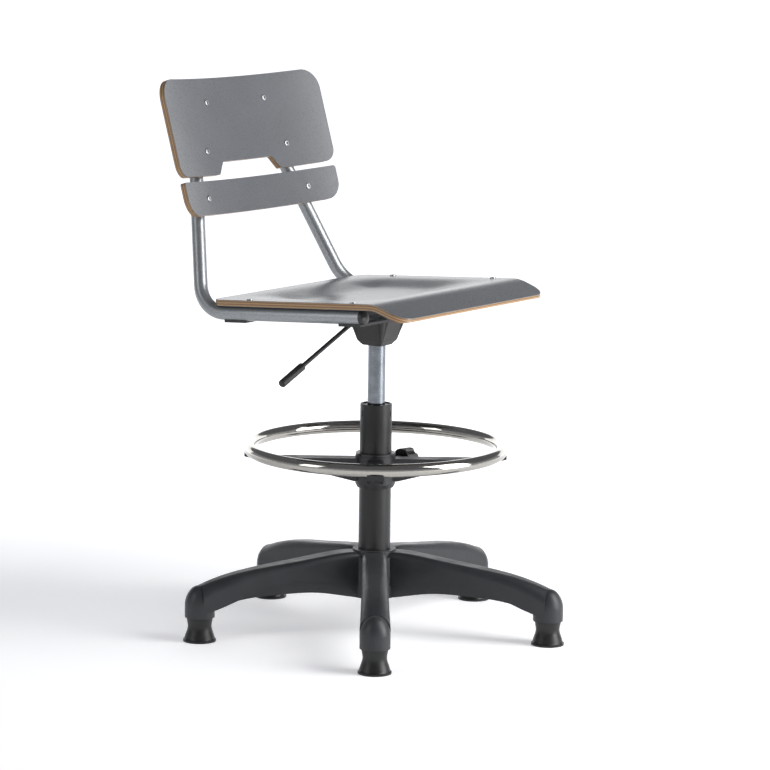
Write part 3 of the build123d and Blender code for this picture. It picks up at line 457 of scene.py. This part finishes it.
# The curve's points: the start, the middle and the end of the bend, and the front edge.
fall_points = [(share, lip_drop(LIP_RUN * share) * CURVE_SCALE) for share in (0.0, 0.17, 0.34, 1.0)]
curve_points = fall.mapping.curves[0].points
curve_points[0].location, curve_points[1].location = fall_points[0], fall_points[-1]
for point in fall_points[1:-1]:
    curve_points.new(*point)
fall.mapping.update()
lip_fall = add(tree, "ShaderNodeMath", {"operation": "DIVIDE"}, i0=fall.outputs["Value"], i1=CURVE_SCALE)
height = add(tree, "ShaderNodeMath", {"operation": "ADD"}, i0=flat.outputs["Value"], i1=lip_fall.outputs[0])
depth = add(tree, "ShaderNodeMath", {"operation": "SUBTRACT"},
            i0=SEAT_Z * cos(SEAT_TILT), i1=height.outputs[0])
ply_layers(tree, shader, depth.outputs[0])
give(seat_ply, "seat_core")


# %% [markdown]
# ## Pieces shaped in Blender
# The next cells add what CAD left plain. A primitive is placed, its faces are picked by where
# they are, and edit-mode operators pull them into shape. Each piece ends with its object at
# the origin, so that its patterns are laid out in the same frame as the CAD parts.

# %% Modelling helpers
def clear_selection():
    bpy.ops.object.select_all(action="DESELECT")


def finish_piece(piece, name, made, body, smooth=35):
    """Applies the place, closes the shape, smooths it and fixes it to its body."""
    clear_selection()
    piece.select_set(True)
    bpy.context.view_layer.objects.active = piece
    bpy.ops.object.transform_apply(location=True, rotation=True, scale=True)
    bpy.ops.object.mode_set(mode="EDIT")
    bpy.ops.mesh.select_all(action="SELECT")
    bpy.ops.mesh.remove_doubles(threshold=0.00001)
    bpy.ops.mesh.normals_make_consistent(inside=False)
    bpy.ops.object.mode_set(mode="OBJECT")
    bpy.ops.object.shade_smooth_by_angle(angle=radians(smooth))
    piece.name = name
    piece.data.name = name
    piece.data.materials.clear()
    piece.data.materials.append(made)
    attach(piece, body)
    print(name, len(piece.data.polygons), "faces on", body)


def pick_faces(piece, wanted):
    """Selects the faces whose centre and normal pass the test, and ends in edit mode."""
    bpy.ops.object.mode_set(mode="EDIT")
    bpy.ops.mesh.select_mode(type="FACE")
    bpy.ops.mesh.select_all(action="DESELECT")
    bpy.ops.object.mode_set(mode="OBJECT")
    for face in piece.data.polygons:
        face.select = wanted(face.center, face.normal)
    bpy.ops.object.mode_set(mode="EDIT")


def apply_modifier(piece, kind, **settings):
    made = piece.modifiers.new(kind.lower(), kind)
    for key, value in settings.items():
        setattr(made, key, value)
    bpy.context.view_layer.objects.active = piece
    bpy.ops.object.modifier_apply(modifier=made.name)


# %% [markdown]
# ### The knob's end cap
# The clamp knob's five scalloped lobes are already right in the CAD part. What it lacks is the
# push-in cap that hides the end of the stud. A cap is a low disc with a sunk ring and a slightly
# crowned middle, so the top of a cylinder is inset again and again and moved a little each time.

# %% Knob cap
KNOB_Z = 0.265
KNOB_SIDE = radians(-14.0)      # which way the knob points, from the sitter's left
CAP_RADIUS, CAP_THICKNESS = 0.0085, 0.003
CAP_STEPS = ((0.0012, 0.0), (0.0008, -0.0006), (0.0008, 0.0008), (0.0030, 0.0004))  # inset, lift

outward = Vector((cos(KNOB_SIDE), sin(KNOB_SIDE), 0))
knob_tip = outward * max(v.co.dot(outward) for v in nodes["clamp_knob"].data.vertices)
knob_end = Vector((knob_tip.x, knob_tip.y, KNOB_Z))
clear_selection()
bpy.ops.mesh.primitive_cylinder_add(vertices=48, radius=CAP_RADIUS, depth=CAP_THICKNESS)
knob_cap = bpy.context.object
pick_faces(knob_cap, lambda centre, normal: normal.z > 0.9)
for inset, lift in CAP_STEPS:
    bpy.ops.mesh.inset(thickness=inset)
    bpy.ops.transform.translate(value=(0, 0, lift))
bpy.ops.object.mode_set(mode="OBJECT")
apply_modifier(knob_cap, "BEVEL", width=0.0003, segments=2, limit_method="ANGLE", angle_limit=radians(40))
knob_cap.matrix_world = Matrix.Translation(knob_end) @ outward.to_track_quat("Z", "Y").to_matrix().to_4x4()
finish_piece(knob_cap, "knob_cap", black_polyethylene, "knob")


# %% [markdown]
# ### Weld beads
# The flat bars are welded to the rails along the rails' inner side. A hand-laid bead is a row of
# overlapping round puddles, each one frozen a little after the last. One puddle is shaped from
# a sphere: its underside is pressed flat and its crown pulled back the way the torch went. Copies
# of it are laid less than a diameter apart, with a small sway, along each joint.

# %% Weld beads
BEAD_RADIUS = 0.0026
BEAD_STEP = 0.0023
BEAD_MARGIN = 0.004             # bare bar left at each end of a bead
BEAD_LIFT = 0.0004              # height of a puddle's middle over the bar
SWAY, SWAY_TURN = 0.0003, 2.1   # how far the torch sways, and its turn in radians at each puddle
RAIL_CONTACT = 0.1885           # from the chair's middle to the rail's inner side

clear_selection()
bpy.ops.mesh.primitive_uv_sphere_add(segments=14, ring_count=10, radius=BEAD_RADIUS)
puddle = bpy.context.object
pick_faces(puddle, lambda centre, normal: normal.z < -0.15)
bpy.ops.transform.resize(value=(0.85, 0.85, 0.15), center_override=(0, 0, -0.0006))
pick_faces(puddle, lambda centre, normal: normal.z > 0.6)
bpy.ops.transform.translate(value=(0, 0.0004, -0.0003))
bpy.ops.object.mode_set(mode="OBJECT")

puddles = []
for bar in ("front_cross_bar", "rear_cross_bar"):
    bar_low, bar_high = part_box(bar)
    middle = 0.5 * (bar_low.y + bar_high.y)
    bar_top = bar_high.z - 0.5 * (bar_high.y - bar_low.y) * sin(SEAT_TILT)
    steps = int((bar_high.y - bar_low.y - 2 * BEAD_MARGIN) / BEAD_STEP)
    for side in (-1, 1):
        for k in range(steps):
            x = side * RAIL_CONTACT + SWAY * sin(k * SWAY_TURN + side)
            y = bar_low.y + BEAD_MARGIN + k * BEAD_STEP
            z = bar_top + BEAD_LIFT - (y - middle) * sin(SEAT_TILT)
            lump = bpy.data.objects.new("puddle", puddle.data.copy())
            bpy.context.collection.objects.link(lump)
            lump.location = (x, y, z)
            puddles.append(lump)
bpy.data.objects.remove(puddle)
clear_selection()
for lump in puddles:
    lump.select_set(True)
bpy.context.view_layer.objects.active = puddles[0]
bpy.ops.object.join()
finish_piece(bpy.context.object, "weld_beads", black_powder, "seat", smooth=60)
